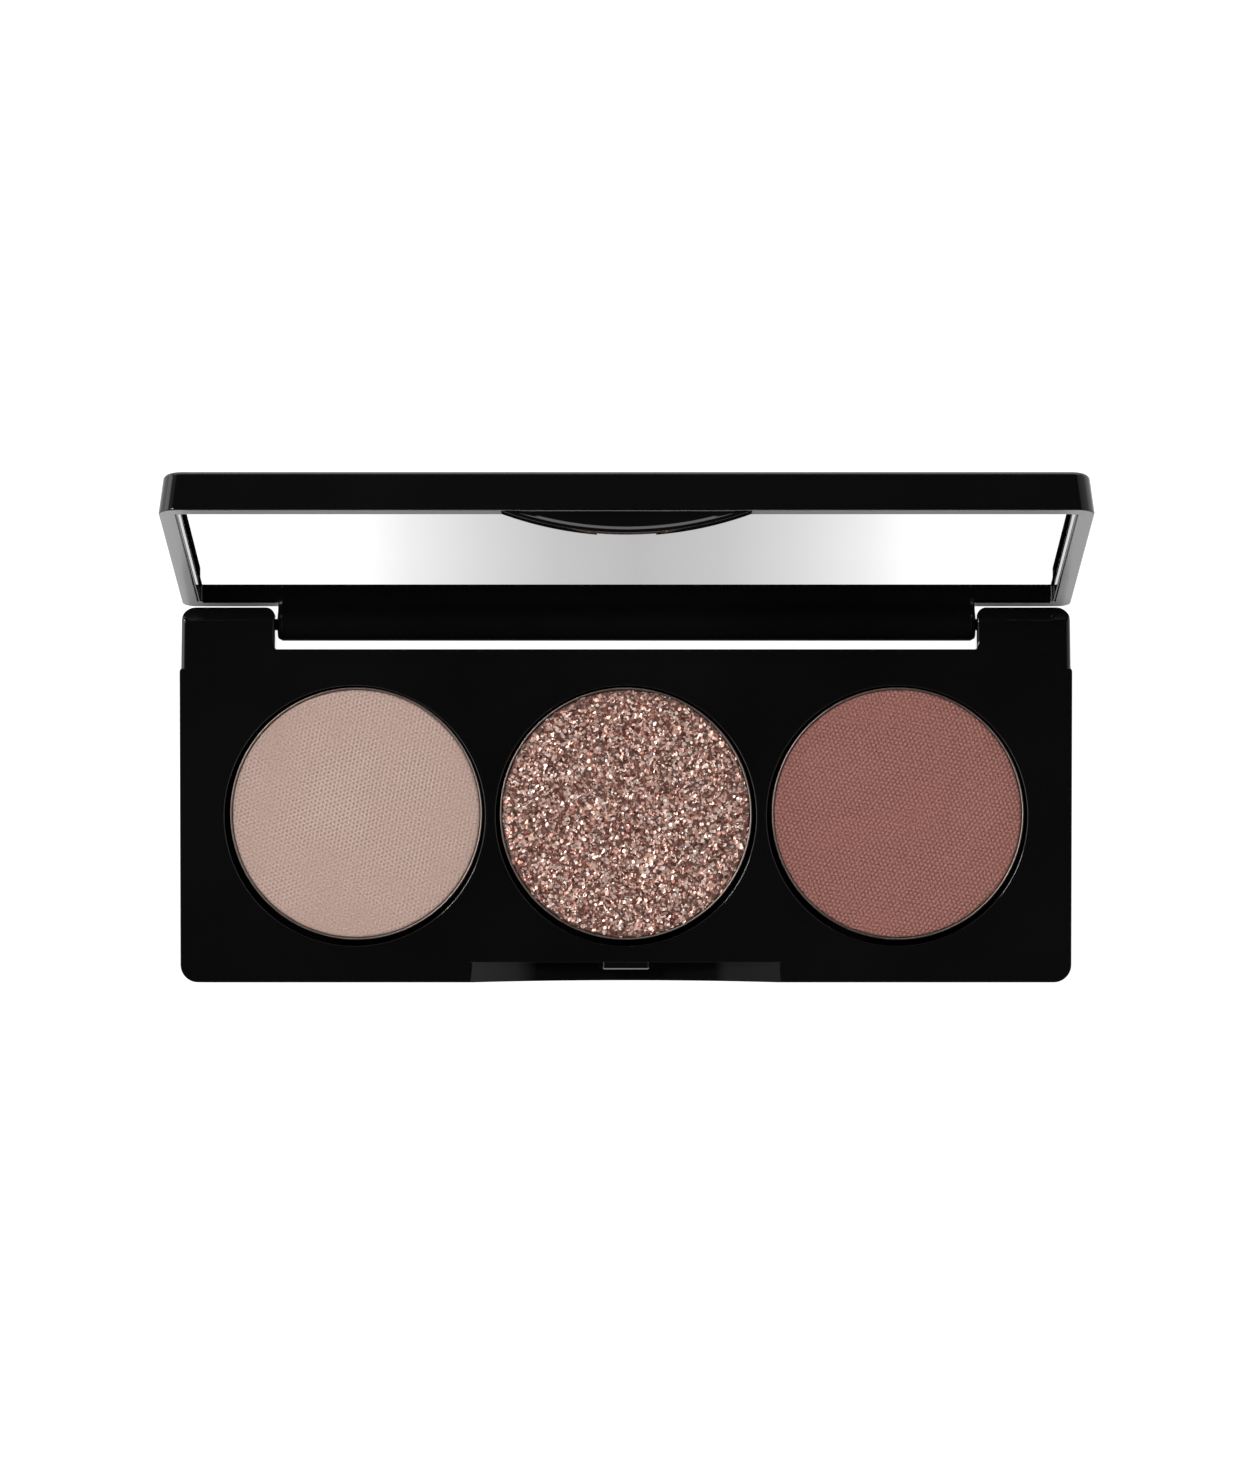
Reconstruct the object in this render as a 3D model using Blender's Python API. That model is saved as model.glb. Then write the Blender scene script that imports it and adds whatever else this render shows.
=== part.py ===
"""Eyeshadow palette with three pans, opened to its stop. Metres, +Z up, +Y toward the hinge.

The frame's origin is the middle of the base's flat underside.
"""
import math

import bmesh
import bpy
from mathutils import Vector

MM = 0.001

# Base, measured at its top face.
HALF_WIDTH = 45.22
SIDE_FLARE = 0.05
FRONT_Y = -18.87
BACK_Y = 19.19
BASE_TOP = 7.0
FRONT_CORNER = 1.8
EAR_CORNER = 1.4
EAR_INSET_BACK = 0.18
EAR_INSET_FRONT = 0.09
EAR_STEP_Y = 12.85
EAR_OUTER_ROUND = 0.8
EAR_INNER_ROUND = 1.1
NOTCH_HALF = 35.58
NOTCH_Y = 14.92
COVER_TOP = 1.2
TRAY_BOTTOM = 1.25
DRAFT = 0.026
PLATE = 1.2
WALL = 1.4
TOP_ROUND = 0.25

# Wells and pans.
WELL_X = 27.5
WELL_Y = -1.97
WELL_RADIUS = 13.2
WELL_FLOOR = 2.3
CUP_RADIUS = 14.2
CUP_BOTTOM = 1.5
PAN_RADIUS = 12.82
PAN_WALL = 0.22
PAN_BOTTOM = 2.46
PAN_TOP = 6.45
PAN_Y = -1.76
PAN_SHIFT = {"left": 0.14, "centre": 0.0, "right": 0.1}
POWDER_GAP = 0.05
POWDER_TOP = 6.33
GLUE_RADIUS = 6.0

# Hinge.
AXIS_Y = 17.445
AXIS_Z = 4.7
PIN_RADIUS = 0.6
PIN_INNER = 29.6
PIN_OUTER = 42.4
BARREL_RADIUS = 1.65
BARREL_HALF = 35.45
LID_SHIFT = 0.06
OPEN_DEG = 103.1

# Lid, in the closed position, measured from the hinge axis.
PARTING = 2.33
LID_THICK = 3.9
LID_HALF = 45.27
LID_FRONT = FRONT_Y - AXIS_Y
LID_BACK = BACK_Y - AXIS_Y
RIM = 1.65
SIDE_RIM = 1.89
LID_ROUND = 1.0
RIM_ROUND = 0.3
MIRROR_DROP = 1.72
MIRROR_THICK = 1.0
SKIRT_INNER = -0.37
SKIRT_OUTER = 1.5
LIP_HALF = 12.1
LIP_DROP = 2.2
LIP_OUTER = LID_FRONT + 0.24
LIP_INNER = LID_FRONT + 1.62

# Finger notch in the front of the base, and the catch in it.
SCOOP_HALF = 15.85
SCOOP_DROP = 3.45
SCOOP_DEPTH = 2.05
NUB_HALF = 2.45
NUB_DEPTH = 0.77


def clear_scene():
    for obj in list(bpy.data.objects):
        bpy.data.objects.remove(obj, do_unlink=True)


def material(name, colour, roughness, metallic=0.0):
    made = bpy.data.materials.new(name)
    made.use_nodes = True
    shader = made.node_tree.nodes["Principled BSDF"]
    shader.inputs["Base Color"].default_value = (*colour, 1.0)
    shader.inputs["Roughness"].default_value = roughness
    shader.inputs["Metallic"].default_value = metallic
    return made


def outline(corners, inset=0.0, steps=6):
    """Points of a closed outline, moved inward by inset. Each corner is (x, y, radius), anticlockwise."""
    points = []
    count = len(corners)
    for i in range(count):
        x, y, radius = corners[i]
        here = Vector((x, y))
        before = (here - Vector(corners[i - 1][:2])).normalized()
        after = (Vector(corners[(i + 1) % count][:2]) - here).normalized()
        left_before = Vector((-before.y, before.x))
        left_after = Vector((-after.y, after.x))
        mitre = here + (left_before + left_after) * (inset / (1.0 + left_before.dot(left_after)))
        turn = math.atan2(before.cross(after), before.dot(after))
        if radius == 0.0:
            points.append(mitre)
            continue
        side = 1.0 if turn > 0.0 else -1.0
        bend = max(radius - side * inset, 0.05)
        start = mitre - before * (bend * math.tan(abs(turn) / 2.0))
        centre = start + left_before * (side * bend)
        arm = start - centre
        for k in range(steps + 1):
            angle = turn * k / steps
            points.append(
                centre
                + Vector(
                    (
                        arm.x * math.cos(angle) - arm.y * math.sin(angle),
                        arm.x * math.sin(angle) + arm.y * math.cos(angle),
                    )
                )
            )
    return points


def rounding(start, end, radius, count):
    """(height, inset) pairs of an edge rounding: upright at start, level at end."""
    side = 1.0 if end > start else -1.0
    pairs = []
    for k in range(count + 1):
        angle = 0.5 * math.pi * k / count
        pairs.append((end - side * radius * (1.0 - math.sin(angle)), radius * (1.0 - math.cos(angle))))
    return pairs


def close_mesh(bm):
    bmesh.ops.remove_doubles(bm, verts=bm.verts, dist=1e-7)
    bmesh.ops.recalc_face_normals(bm, faces=bm.faces)


def loft(name, rings, place):
    """A closed solid through rings of equal point count. place turns (u, v, height) into x, y, z in mm."""
    bm = bmesh.new()
    rows = []
    for points, height in rings:
        rows.append([bm.verts.new(Vector(place(p[0], p[1], height)) * MM) for p in points])
    for lower, upper in zip(rows, rows[1:]):
        for i in range(len(lower)):
            bm.faces.new((lower[i - 1], lower[i], upper[i], upper[i - 1]))
    bm.faces.new(list(reversed(rows[0])))
    bm.faces.new(rows[-1])
    close_mesh(bm)
    return to_object(name, bm)


def upright(u, v, height):
    return (u, v, height)


def crosswise(u, v, height):
    """The outline lies in y and z, and height runs along x."""
    return (height, u, v)


def frontwise(u, v, height):
    """The outline lies in x and z, and height runs along y."""
    return (u, height, v)


def to_object(name, bm):
    mesh = bpy.data.meshes.new(name)
    bm.to_mesh(mesh)
    bm.free()
    obj = bpy.data.objects.new(name, mesh)
    bpy.context.scene.collection.objects.link(obj)
    return obj


def revolve(name, profile, centre, segments):
    """A closed solid of revolution about an upright axis. profile is (radius, z), both ends on the axis."""
    bm = bmesh.new()
    rows = []
    for radius, z in profile:
        if radius == 0.0:
            rows.append([bm.verts.new(Vector((centre[0], centre[1], z)) * MM)])
            continue
        row = []
        for k in range(segments):
            angle = 2.0 * math.pi * k / segments
            x = centre[0] + radius * math.cos(angle)
            y = centre[1] + radius * math.sin(angle)
            row.append(bm.verts.new(Vector((x, y, z)) * MM))
        rows.append(row)
    for lower, upper in zip(rows, rows[1:]):
        for i in range(segments):
            if len(lower) == 1:
                bm.faces.new((lower[0], upper[i], upper[i - 1]))
            elif len(upper) == 1:
                bm.faces.new((lower[i - 1], lower[i], upper[0]))
            else:
                bm.faces.new((lower[i - 1], lower[i], upper[i], upper[i - 1]))
    close_mesh(bm)
    return to_object(name, bm)


def disc_profile(radius, low, high, edge):
    """A disc whose top edge is rounded."""
    top = [(radius - inset, z) for z, inset in rounding(low, high, edge, 2)]
    return [(0.0, low), (radius, low)] + top + [(0.0, high)]


def rod(name, radius, x_from, x_to, y, z, segments=24, chamfer=0.0):
    """A round rod along x."""
    rings = []
    ends = [(x_from, radius - chamfer), (x_from + chamfer, radius)]
    ends += [(x_to - chamfer, radius), (x_to, radius - chamfer)]
    if chamfer == 0.0:
        ends = [(x_from, radius), (x_to, radius)]
    for x, r in ends:
        ring = []
        for k in range(segments):
            angle = 2.0 * math.pi * k / segments
            ring.append((y + r * math.cos(angle), z + r * math.sin(angle)))
        rings.append((ring, x))
    return loft(name, rings, crosswise)


def combine(target, tool, operation):
    """Adds or removes tool from target for good, then drops the tool."""
    modifier = target.modifiers.new(tool.name, "BOOLEAN")
    modifier.operation = operation
    modifier.solver = "EXACT"
    modifier.object = tool
    graph = bpy.context.evaluated_depsgraph_get()
    result = bpy.data.meshes.new_from_object(target.evaluated_get(graph))
    target.modifiers.clear()
    target.data = result
    bpy.data.objects.remove(tool, do_unlink=True)


def finish(obj, paint, sharp=35.0, origin=None):
    """Gives the piece its material, smooth shading and, for a moving piece, its origin."""
    bm = bmesh.new()
    bm.from_mesh(obj.data)
    bmesh.ops.remove_doubles(bm, verts=bm.verts, dist=1e-6)
    bmesh.ops.dissolve_degenerate(bm, edges=bm.edges, dist=1e-6)
    bmesh.ops.triangulate(bm, faces=bm.faces)
    bmesh.ops.recalc_face_normals(bm, faces=bm.faces)
    bm.to_mesh(obj.data)
    bm.free()
    obj.data.materials.clear()
    obj.data.materials.append(paint)
    for face in obj.data.polygons:
        face.use_smooth = True
    obj.data.set_sharp_from_angle(angle=math.radians(sharp))
    if origin is not None:
        obj.parent = origin
    return obj


def base_corners():
    right = [
        (HALF_WIDTH - SIDE_FLARE, FRONT_Y, FRONT_CORNER),
        (HALF_WIDTH + SIDE_FLARE, EAR_STEP_Y - 0.15, 0.0),
        (HALF_WIDTH - EAR_INSET_FRONT, EAR_STEP_Y + 0.15, 0.0),
        (HALF_WIDTH - EAR_INSET_BACK, BACK_Y, EAR_CORNER),
        (NOTCH_HALF, BACK_Y, 1.0),
        (NOTCH_HALF, NOTCH_Y, 0.4),
    ]
    left = [(-x, y, radius) for x, y, radius in reversed(right)]
    return right + left


def draft(z):
    return DRAFT * (BASE_TOP - z)


def base_tray(paint):
    corners = base_corners()
    levels = [(TRAY_BOTTOM, draft(TRAY_BOTTOM) + 0.1), (TRAY_BOTTOM + 0.1, draft(TRAY_BOTTOM))]
    levels += rounding(TRAY_BOTTOM, BASE_TOP, TOP_ROUND, 3)
    rings = [(outline(corners, inset, 5), z) for z, inset in levels]
    tray = loft("base_tray", rings, upright)
    hollow = [
        (HALF_WIDTH - WALL, FRONT_Y + WALL, 1.0),
        (HALF_WIDTH - WALL, NOTCH_Y - WALL, 1.0),
        (-HALF_WIDTH + WALL, NOTCH_Y - WALL, 1.0),
        (-HALF_WIDTH + WALL, FRONT_Y + WALL, 1.0),
    ]
    inside = outline(hollow, 0.0, 4)
    combine(tray, loft("hollow", [(inside, -1.0), (inside, BASE_TOP - PLATE)], upright), "DIFFERENCE")
    for x in (-WELL_X, 0.0, WELL_X):
        cup = [(0.0, CUP_BOTTOM), (CUP_RADIUS, CUP_BOTTOM), (CUP_RADIUS, BASE_TOP - 0.7), (0.0, BASE_TOP - 0.7)]
        combine(tray, revolve("cup", cup, (x, WELL_Y), 48), "UNION")
    block = [(18.0, -17.9, 0.0), (18.0, -14.7, 0.0), (-18.0, -14.7, 0.0), (-18.0, -17.9, 0.0)]
    block_rings = [(outline(block), 2.7), (outline(block), BASE_TOP - 0.6)]
    combine(tray, loft("scoop_wall", block_rings, upright), "UNION")
    for x in (-WELL_X, 0.0, WELL_X):
        well = [(0.0, WELL_FLOOR), (WELL_RADIUS, WELL_FLOOR), (WELL_RADIUS, BASE_TOP - 0.2)]
        well += [(WELL_RADIUS + 0.03, BASE_TOP - 0.08), (WELL_RADIUS + 0.15, BASE_TOP + 0.04)]
        well += [(WELL_RADIUS + 0.15, BASE_TOP + 1.0), (0.0, BASE_TOP + 1.0)]
        combine(tray, revolve("well", well, (x, WELL_Y), 72), "DIFFERENCE")
    combine(tray, scoop_cutter(), "DIFFERENCE")
    combine(tray, catch_nub(), "UNION")
    round_ears(tray)
    for side in (-1.0, 1.0):
        ends = sorted((side * (NOTCH_HALF - 1.0), side * (PIN_OUTER + 0.1)))
        hole = rod("hole", PIN_RADIUS + 0.03, ends[0], ends[1], AXIS_Y, AXIS_Z)
        combine(tray, hole, "DIFFERENCE")
    return finish(tray, paint)


def edge_cutter(name, side, stations):
    """Rounds a top edge that runs along y. side points out of the plastic. stations are (y, edge x, radius)."""
    rings = []
    for y, edge, radius in stations:
        points = []
        for k in range(7):
            angle = 0.5 * math.pi * k / 6
            x = edge - side * radius * (1.0 - math.sin(angle))
            points.append((x, BASE_TOP - radius * (1.0 - math.cos(angle))))
        points.append((edge + side, BASE_TOP - radius))
        points.append((edge + side, BASE_TOP + 1.0))
        points.append((edge - side * radius, BASE_TOP + 1.0))
        rings.append((points, y))
    return loft(name, rings, frontwise)


def ear_back_cutter():
    """Trims the ears to a cylinder about the hinge axis, so that the lid's rear edge swings past them."""
    reach = BASE_TOP - AXIS_Z
    points = []
    for k in range(11):
        angle = math.radians(90.0 - 65.0 * k / 10)
        points.append((AXIS_Y + reach * math.cos(angle), AXIS_Z + reach * math.sin(angle)))
    points.append((AXIS_Y + 4.0, points[-1][1]))
    points.append((AXIS_Y + 4.0, BASE_TOP + 1.0))
    points.append((AXIS_Y, BASE_TOP + 1.0))
    return loft("ear_back", [(points, -50.0), (points, 50.0)], crosswise)


def round_ears(tray):
    for side in (-1.0, 1.0):
        front = side * (HALF_WIDTH - EAR_INSET_FRONT)
        back = side * (HALF_WIDTH - EAR_INSET_BACK)
        outer = [(EAR_STEP_Y + 0.1, front, EAR_OUTER_ROUND), (BACK_Y + 1.0, back, EAR_OUTER_ROUND)]
        combine(tray, edge_cutter("outer", side, outer), "DIFFERENCE")
        inner = [(NOTCH_Y - 0.2, side * NOTCH_HALF, TOP_ROUND), (NOTCH_Y + 0.1, side * NOTCH_HALF, EAR_INNER_ROUND)]
        inner.append((BACK_Y + 1.0, side * NOTCH_HALF, EAR_INNER_ROUND))
        combine(tray, edge_cutter("inner", -side, inner), "DIFFERENCE")
    combine(tray, ear_back_cutter(), "DIFFERENCE")


def scoop_cutter():
    """The smile-shaped finger notch, cut from the front."""
    radius = (SCOOP_HALF**2 + SCOOP_DROP**2) / (2.0 * SCOOP_DROP)
    middle = BASE_TOP - SCOOP_DROP + radius
    reach = math.asin(SCOOP_HALF / radius) * 1.04
    points = []
    steps = 28
    for k in range(steps + 1):
        angle = -reach + 2.0 * reach * k / steps
        points.append((radius * math.sin(angle), middle - radius * math.cos(angle)))
    points.append((points[-1][0], BASE_TOP + 2.0))
    points.append((points[0][0], BASE_TOP + 2.0))
    back = FRONT_Y + SCOOP_DEPTH
    return loft("scoop", [(points, FRONT_Y - 1.0), (points, back)], frontwise)


def catch_nub():
    back = FRONT_Y + SCOOP_DEPTH
    shape = [
        (-NUB_HALF, back - NUB_DEPTH, 0.25),
        (NUB_HALF, back - NUB_DEPTH, 0.25),
        (NUB_HALF, back + 0.6, 0.0),
        (-NUB_HALF, back + 0.6, 0.0),
    ]
    levels = [(6.1, 0.12), (6.22, 0.0)] + rounding(6.22, BASE_TOP - 0.04, 0.12, 2)
    return loft("nub", [(outline(shape, inset, 4), z) for z, inset in levels], upright)


def base_bottom_cover(paint):
    corners = base_corners()
    lowest = draft(0.0)
    levels = [(z, lowest + inset) for z, inset in reversed(rounding(COVER_TOP, 0.0, 0.7, 4))]
    levels += [(COVER_TOP - 0.08, lowest), (COVER_TOP, lowest + 0.08)]
    cover = loft("base_bottom_cover", [(outline(corners, inset, 5), z) for z, inset in levels], upright)
    gap = 0.1
    edge = [
        (HALF_WIDTH - WALL - gap, FRONT_Y + WALL + gap, 0.9),
        (HALF_WIDTH - WALL - gap, NOTCH_Y - WALL - gap, 0.9),
        (-HALF_WIDTH + WALL + gap, NOTCH_Y - WALL - gap, 0.9),
        (-HALF_WIDTH + WALL + gap, FRONT_Y + WALL + gap, 0.9),
    ]
    ring_low, ring_high = COVER_TOP - 0.5, COVER_TOP + 1.2
    band = loft("band", [(outline(edge, 0.0, 4), ring_low), (outline(edge, 0.0, 4), ring_high)], upright)
    bore = outline(edge, 0.75, 4)
    combine(band, loft("bore", [(bore, COVER_TOP - 1.0), (bore, COVER_TOP + 2.0)], upright), "DIFFERENCE")
    combine(cover, band, "UNION")
    label = outline(label_corners(), -0.12, 3)
    combine(cover, loft("recess", [(label, -1.0), (label, 0.14)], upright), "DIFFERENCE")
    return finish(cover, paint)


def label_corners():
    return [(4.5, -9.0, 1.0), (38.5, -9.0, 1.0), (38.5, 9.0, 1.0), (4.5, 9.0, 1.0)]


def bottom_label(paint):
    shape = outline(label_corners(), 0.0, 3)
    return finish(loft("bottom_label", [(shape, 0.03), (shape, 0.11)], upright), paint)


def pan(side, x, paint):
    outer, inner = PAN_RADIUS, PAN_RADIUS - PAN_WALL
    floor = PAN_BOTTOM + 0.25
    profile = [(0.0, PAN_BOTTOM), (outer - 0.5, PAN_BOTTOM), (outer - 0.15, PAN_BOTTOM + 0.15)]
    profile += [(outer, PAN_BOTTOM + 0.5), (outer, PAN_TOP - 0.05), (outer - 0.05, PAN_TOP)]
    profile += [(inner, PAN_TOP), (inner, floor), (0.0, floor)]
    return finish(revolve("pan_" + side, profile, (x, PAN_Y), 72), paint)


def powder(side, x, paint):
    radius = PAN_RADIUS - PAN_WALL - POWDER_GAP
    profile = disc_profile(radius, PAN_BOTTOM + 0.3, POWDER_TOP, 0.25)
    return finish(revolve("powder_" + side, profile, (x, PAN_Y), 72), paint)


def pan_glue(side, x, paint):
    profile = [(0.0, WELL_FLOOR + 0.03), (GLUE_RADIUS, WELL_FLOOR + 0.03)]
    profile += [(GLUE_RADIUS, PAN_BOTTOM - 0.03), (0.0, PAN_BOTTOM - 0.03)]
    return finish(revolve("pan_glue_" + side, profile, (x, PAN_Y), 24), paint)


def hinge_pin(side, sign, paint):
    ends = sorted((sign * PIN_INNER, sign * PIN_OUTER))
    pin = rod("hinge_pin_" + side, PIN_RADIUS, ends[0], ends[1], AXIS_Y, AXIS_Z, 24, 0.1)
    return finish(pin, paint)


def lid_axis():
    axis = bpy.data.objects.new("lid_hinge_axis", None)
    bpy.context.scene.collection.objects.link(axis)
    axis.location = (LID_SHIFT * MM, AXIS_Y * MM, AXIS_Z * MM)
    axis.rotation_euler = (math.radians(-OPEN_DEG), 0.0, 0.0)
    return axis


def lid_corners(side, front, back, front_corner, back_corner):
    return [
        (-side, front, front_corner),
        (side, front, front_corner),
        (side, back, back_corner),
        (-side, back, back_corner),
    ]


def lid_shell(paint, axis):
    top = PARTING + LID_THICK
    corners = lid_corners(LID_HALF, LID_FRONT, LID_BACK, FRONT_CORNER, EAR_CORNER)
    levels = list(reversed(rounding(top, PARTING, 0.15, 2))) + rounding(PARTING, top, LID_ROUND, 5)
    shell = loft("lid_shell", [(outline(corners, inset, 6), z) for z, inset in levels], upright)
    inner = lid_corners(LID_HALF - SIDE_RIM, LID_FRONT + RIM, SKIRT_INNER + 0.01, 0.9, 0.9)
    floor = PARTING + MIRROR_DROP + MIRROR_THICK + 0.16
    rings = [(outline(inner, -RIM_ROUND, 4), PARTING - 1.0), (outline(inner, -RIM_ROUND, 4), PARTING - 0.04)]
    rings += [(outline(inner, -0.13, 4), PARTING + 0.06), (outline(inner, -0.03, 4), PARTING + 0.18)]
    rings += [(outline(inner, 0.0, 4), PARTING + RIM_ROUND), (outline(inner, 0.0, 4), floor)]
    combine(shell, loft("lid_hollow", rings, upright), "DIFFERENCE")
    combine(shell, hinge_skirt(), "UNION")
    combine(shell, finger_lip(), "UNION")
    groove = [(-2.85, LIP_INNER - 0.6, 0.0), (2.85, LIP_INNER - 0.6, 0.0)]
    groove += [(2.85, LIP_INNER + 0.6, 0.0), (-2.85, LIP_INNER + 0.6, 0.0)]
    slot = outline(groove)
    combine(shell, loft("groove", [(slot, PARTING - 4.0), (slot, PARTING - 0.05)], upright), "DIFFERENCE")
    for side in (-1.0, 1.0):
        ends = sorted((side * (PIN_INNER - 0.4), side * (BARREL_HALF + 1.0)))
        combine(shell, rod("bore", PIN_RADIUS + 0.05, ends[0], ends[1], 0.0, 0.0), "DIFFERENCE")
    return finish(shell, paint, 35.0, axis)


def hinge_skirt():
    """The barrel and the web that joins it to the lid's rear wall."""
    high = PARTING + 1.9
    points = [(SKIRT_OUTER, high, 0.0), (SKIRT_INNER, high, 0.0), (SKIRT_INNER, 2.35, 0.0)]
    points += [(-0.45, 2.0, 0.0), (-0.66, 1.7, 0.0), (-0.96, 1.42, 0.0)]
    first = math.radians(141.0)
    last = 2.0 * math.pi - math.acos(SKIRT_OUTER / BARREL_RADIUS)
    for k in range(19):
        angle = first + (last - first) * k / 18
        points.append((BARREL_RADIUS * math.cos(angle), BARREL_RADIUS * math.sin(angle), 0.0))
    ends = [(BARREL_HALF, 0.35), (BARREL_HALF - 0.1, 0.15), (BARREL_HALF - 0.35, 0.0)]
    stations = [(-x, inset) for x, inset in ends] + [(x, inset) for x, inset in reversed(ends)]
    return loft("skirt", [(outline(points, inset), x) for x, inset in stations], crosswise)


def crescent(inset, steps):
    """The finger lip's outline, moved inward along its arc only, up to a level inside the lid's front wall."""
    radius = (LIP_HALF**2 + LIP_DROP**2) / (2.0 * LIP_DROP)
    middle = PARTING - LIP_DROP + radius
    arc = radius - inset
    reach = math.acos((middle - PARTING) / arc)
    points = []
    for k in range(steps + 1):
        angle = -reach + 2.0 * reach * k / steps
        points.append((arc * math.sin(angle), middle - arc * math.cos(angle)))
    points.append((points[-1][0], PARTING + 0.5))
    points.append((points[0][0], PARTING + 0.5))
    return points


def finger_lip():
    """The crescent that hangs from the lid's front wall and is pushed up to open it."""
    levels = [(LIP_INNER, 0.12), (LIP_INNER - 0.12, 0.0), (LIP_OUTER + 0.3, 0.0)]
    levels += [(LIP_OUTER + 0.1, 0.07), (LIP_OUTER, 0.2), (LIP_OUTER, 0.3)]
    levels += [(LIP_OUTER + 0.08, 0.42), (LIP_OUTER + 0.16, 0.48)]
    return loft("lip", [(crescent(inset, 24), y) for y, inset in levels], frontwise)


def mirror(paint, axis):
    low = PARTING + MIRROR_DROP
    high = low + MIRROR_THICK
    corners = lid_corners(LID_HALF - SIDE_RIM - 0.1, LID_FRONT + RIM + 0.1, SKIRT_INNER - 0.08, 0.8, 0.6)
    levels = [(low, 0.1), (low + 0.1, 0.0), (high - 0.1, 0.0), (high, 0.1)]
    glass = loft("mirror", [(outline(corners, inset, 4), z) for z, inset in levels], upright)
    return finish(glass, paint, 35.0, axis)


def mirror_tape(paint, axis):
    low = PARTING + MIRROR_DROP + MIRROR_THICK + 0.03
    corners = lid_corners(LID_HALF - SIDE_RIM - 1.5, LID_FRONT + RIM + 1.5, -2.0, 0.8, 0.8)
    shape = outline(corners, 0.0, 3)
    return finish(loft("mirror_tape", [(shape, low), (shape, low + 0.1)], upright), paint, 35.0, axis)


def build():
    clear_scene()
    shell = material("gloss_black_plastic", (0.004, 0.004, 0.004), 0.12)
    tin = material("tinned_steel", (0.55, 0.54, 0.52), 0.35, 1.0)
    steel = material("pin_steel", (0.6, 0.6, 0.6), 0.25, 1.0)
    glass = material("mirror_glass", (0.9, 0.9, 0.9), 0.02, 1.0)
    tape = material("foam_tape", (0.75, 0.74, 0.7), 0.8)
    glue = material("clear_adhesive", (0.7, 0.66, 0.5), 0.4)
    paper = material("label_paper", (0.8, 0.8, 0.78), 0.6)
    powders = {
        "left": material("powder_matte_beige", (0.49, 0.34, 0.29), 0.95),
        "centre": material("powder_rose_glitter", (0.4, 0.22, 0.18), 0.4),
        "right": material("powder_matte_mauve", (0.27, 0.12, 0.105), 0.95),
    }
    base_tray(shell)
    base_bottom_cover(shell)
    bottom_label(paper)
    for side, well_x in (("left", -WELL_X), ("centre", 0.0), ("right", WELL_X)):
        x = well_x + PAN_SHIFT[side]
        pan(side, x, tin)
        powder(side, x, powders[side])
        pan_glue(side, x, glue)
    hinge_pin("left", -1.0, steel)
    hinge_pin("right", 1.0, steel)
    axis = lid_axis()
    lid_shell(shell, axis)
    mirror(glass, axis)
    mirror_tape(tape, axis)


build()
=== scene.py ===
"""Eyeshadow palette with three pans: its looks, studio and camera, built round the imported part."""
import math
import random

import bmesh
import bpy
from mathutils import Matrix, Vector


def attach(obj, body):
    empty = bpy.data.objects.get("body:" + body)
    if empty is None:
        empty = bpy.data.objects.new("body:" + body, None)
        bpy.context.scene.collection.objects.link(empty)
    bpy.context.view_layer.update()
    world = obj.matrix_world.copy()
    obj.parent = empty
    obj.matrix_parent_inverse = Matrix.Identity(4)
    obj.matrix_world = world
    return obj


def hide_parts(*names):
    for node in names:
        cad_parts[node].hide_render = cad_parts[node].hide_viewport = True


MM = 0.001

# Sizes are in millimetres and angles in degrees, unless a comment says otherwise.

# Base: outline, height and edges.
HALF_WIDTH = 45.22
SIDE_FLARE = 0.05
FRONT_Y = -18.87
BACK_Y = 19.19
BASE_TOP = 7.0
TRAY_BOTTOM = 1.25
COVER_TOP = 1.2
COVER_ROUND = 0.7
DRAFT = 0.026
TOP_ROUND = 0.1
FRONT_CORNER = 1.8
LABEL_LEFT = 4.5
LABEL_RIGHT = 38.5
LABEL_HALF_DEPTH = 9.0
LABEL_RECESS = 0.14

# Base: the hinge ears and the notch between them.
EAR_CORNER = 1.4
EAR_INSET_BACK = 0.18
EAR_INSET_FRONT = 0.09
EAR_STEP_Y = 12.85
EAR_STEP_HALF = 0.15
EAR_OUTER_ROUND = 0.52
EAR_INNER_ROUND = 0.32
EAR_BACK_SWEEP = 65.0
CUT_REACH = 50.0
NOTCH_HALF = 35.58
NOTCH_Y = 14.92
NOTCH_CORNER = 1.0
NOTCH_INNER_CORNER = 0.15

# Base: wells. WELL_EDGE holds (widening, height above the top) up the well's rounded edge.
WELL_X = 27.5
WELL_Y = -1.97
WELL_RADIUS = 13.2
WELL_FLOOR = 2.3
WELL_EDGE = [(0.0, -0.16), (0.012, -0.1), (0.045, -0.045), (0.15, 0.02), (0.15, 1.0)]

# Pans and powders.
PAN_RADIUS = 12.82
PAN_WALL = 0.22
PAN_BOTTOM = 2.46
PAN_BOTTOM_ROUND = 0.5
PAN_FLOOR = 0.25
PAN_TOP = 6.45
PAN_Y = -1.76
PAN_SHIFT = {"left": 0.14, "centre": 0.0, "right": 0.1}
POWDER_GAP = 0.05
POWDER_BOTTOM = 0.3
POWDER_TOP = 6.33
POWDER_ROUND = 0.28
POWDER_RINGS = (0.9, 0.7, 0.5, 0.3, 0.15)
ROUND_SEGMENTS = 192

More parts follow.
